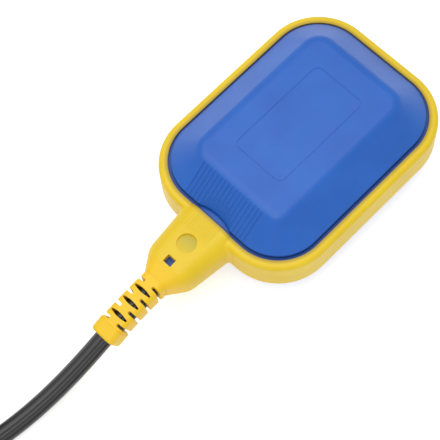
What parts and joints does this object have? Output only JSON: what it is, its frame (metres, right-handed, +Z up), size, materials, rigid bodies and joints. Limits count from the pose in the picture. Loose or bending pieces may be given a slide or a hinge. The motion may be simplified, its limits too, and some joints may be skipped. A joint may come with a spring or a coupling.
{
  "type": "float level switch",
  "caption": "Cable float switch: a sealed two-shell float in a moulded rim, with a strain relief, a rubber cable, and a rolling ball that works a microswitch inside.",
  "frame": {"origin": "centre of the flat face that the float lies on, under the middle of the float's body", "axes": "+X along the float, away from the cable; +Y across it; +Z up, out of the resting face and through the float"},
  "size_m": [0.2983, 0.1445, 0.0415],
  "materials": {
    "overmould": "soft moulded plastic, matt, yellow",
    "shell_upper": "moulded plastic, satin, blue",
    "shell_lower": "moulded plastic, satin, blue",
    "cable_sheath": "rubber sheath, matt, black",
    "coiled_sheath": "rubber sheath, matt, black",
    "seal_rubber": "rubber, matt, black",
    "tie_plastic": "plastic strap, satin, black",
    "carrier_plastic": "moulded plastic, satin, light grey",
    "race_plastic": "moulded plastic, satin, light grey",
    "ball_steel": "polished steel",
    "screw_steel": "zinc-plated steel",
    "switch_plastic": "moulded plastic, satin, black",
    "switch_lid_plastic": "moulded plastic, satin, black",
    "plunger_plastic": "moulded plastic, satin, red",
    "lever_steel": "stainless steel strip",
    "pin_steel": "steel pin",
    "terminal_brass": "plated brass",
    "receptacle_brass": "tinned brass",
    "core_brown": "insulation, satin, brown",
    "core_black": "insulation, satin, black",
    "core_blue": "insulation, satin, blue",
    "bare_copper": "bare copper strands"
  },
  "bodies": {
    "float": {"overmould": "overmould", "upper_shell": "shell_upper", "lower_shell": "shell_lower", "cable": "cable_sheath", "cable_coil": "coiled_sheath", "coil_tie": "tie_plastic", "cable_seal": "seal_rubber", "lead_brown": "core_brown", "lead_black": "core_black", "lead_blue": "core_blue", "lead_ends": "bare_copper", "switch_carrier": "carrier_plastic", "carrier_screws": "screw_steel", "race_cover": "race_plastic", "microswitch_case": "switch_plastic", "microswitch_cover": "switch_lid_plastic", "microswitch_screws": "screw_steel", "lever_pin": "pin_steel", "terminal_common": "terminal_brass", "terminal_open": "terminal_brass", "terminal_closed": "terminal_brass", "receptacles": "receptacle_brass", "core_brown": "core_brown", "core_black": "core_black", "core_blue": "core_blue"},
    "ball": {"steel_ball": "ball_steel"},
    "lever": {"switch_lever": "lever_steel"},
    "plunger": {"microswitch_plunger": "plunger_plastic"}
  },
  "joints": [
    {"name": "ball_roll", "type": "slide", "parent": "float", "child": "ball", "axis": [-1, 0, 0], "range_m": [0, 0.022]},
    {"name": "lever_turn", "type": "hinge", "parent": "float", "child": "lever", "pos_m": [-0.0014, 0.009, 0.014], "axis": [0, 0, -1], "range_deg": [0, 5]},
    {"name": "plunger_push", "type": "slide", "parent": "float", "child": "plunger", "axis": [-1, 0, 0], "range_m": [0, 0.0009], "stiffness_N_per_m": 100}
  ],
  "couplings": [
    {"joint": "lever_turn", "follows": "ball_roll", "rad_per_m": 3.9659},
    {"joint": "plunger_push", "follows": "ball_roll", "ratio": 0.04086}
  ]
}
